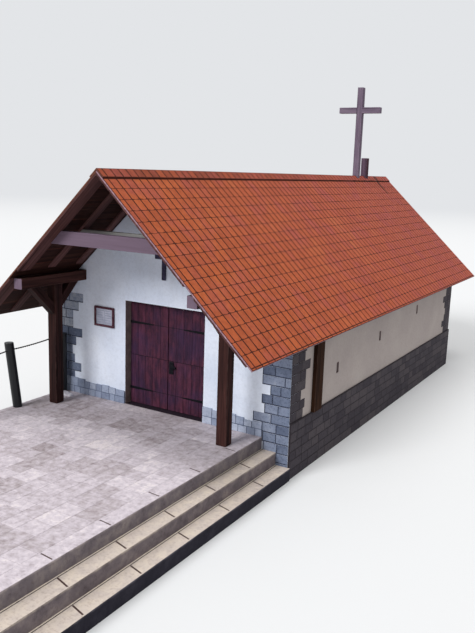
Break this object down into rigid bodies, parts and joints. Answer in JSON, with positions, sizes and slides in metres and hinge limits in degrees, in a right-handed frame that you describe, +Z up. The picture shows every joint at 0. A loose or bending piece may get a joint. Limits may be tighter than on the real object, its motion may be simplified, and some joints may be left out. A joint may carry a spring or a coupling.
{
  "type": "scale model of a small chapel",
  "caption": "Card scale model of a small chapel: gabled hall with open timber porch, hinged double door, raised terrace with side steps, ridge cross.",
  "frame": {"origin": "on the ground plane, under the middle of the bounding box", "axes": "+Z up, +Y from the porch to the back of the hall, +X to the side with the steps"},
  "size_m": [0.079, 0.236, 0.1006],
  "materials": {
    "plaster": "matte",
    "stone": "matte",
    "paving": "matte",
    "roof_tile": "matte",
    "dark_timber": "matte",
    "pale_timber": "matte",
    "door_boards": "matte",
    "black_iron": "satin",
    "board_frame": "matte",
    "board_paper": "matte",
    "cross_timber": "matte",
    "black_post": "matte",
    "rope": "matte"
  },
  "bodies": {
    "building": {"terrace": "paving", "step_1": "paving", "step_2": "paving", "hall_floor": "paving", "door_sill": "stone", "front_wall_left": "plaster", "front_wall_right": "plaster", "front_gable": "plaster", "back_wall": "plaster", "left_wall": "plaster", "right_wall": "plaster", "left_plinth": "stone", "right_plinth": "stone", "back_plinth": "stone", "front_plinth_left": "stone", "front_plinth_right": "stone", "left_pilaster": "dark_timber", "right_pilaster": "dark_timber", "roof_panel_left": "roof_tile", "roof_panel_right": "roof_tile", "ridge_cap": "roof_tile", "ridge_cap_end": "roof_tile", "porch_rafters_left": "dark_timber", "porch_rafters_right": "dark_timber", "rear_rafters_left": "dark_timber", "rear_rafters_right": "dark_timber", "front_tie_beam": "pale_timber", "middle_tie_beam": "pale_timber", "porch_purlin_left": "dark_timber", "porch_purlin_right": "dark_timber", "porch_post_left": "dark_timber", "porch_post_right": "dark_timber", "porch_braces_left": "dark_timber", "porch_braces_right": "dark_timber", "notice_board_frame": "board_frame", "notice_board_sheet": "board_paper", "wall_cross": "black_iron", "ridge_cross": "cross_timber", "ridge_post": "cross_timber", "fence_posts": "black_post", "fence_rope": "rope"},
    "left_leaf": {"door_leaf_left": "door_boards", "door_straps_left": "black_iron"},
    "right_leaf": {"door_leaf_right": "door_boards", "door_straps_right": "black_iron", "door_lock": "black_iron"}
  },
  "joints": [
    {"name": "left_door_hinge", "type": "hinge", "parent": "building", "child": "left_leaf", "pos_m": [-0.01115, -0.0311, 0.009], "axis": [0, 0, 1], "range_deg": [0, 100]},
    {"name": "right_door_hinge", "type": "hinge", "parent": "building", "child": "right_leaf", "pos_m": [0.01255, -0.0311, 0.009], "axis": [0, 0, -1], "range_deg": [0, 100]}
  ]
}
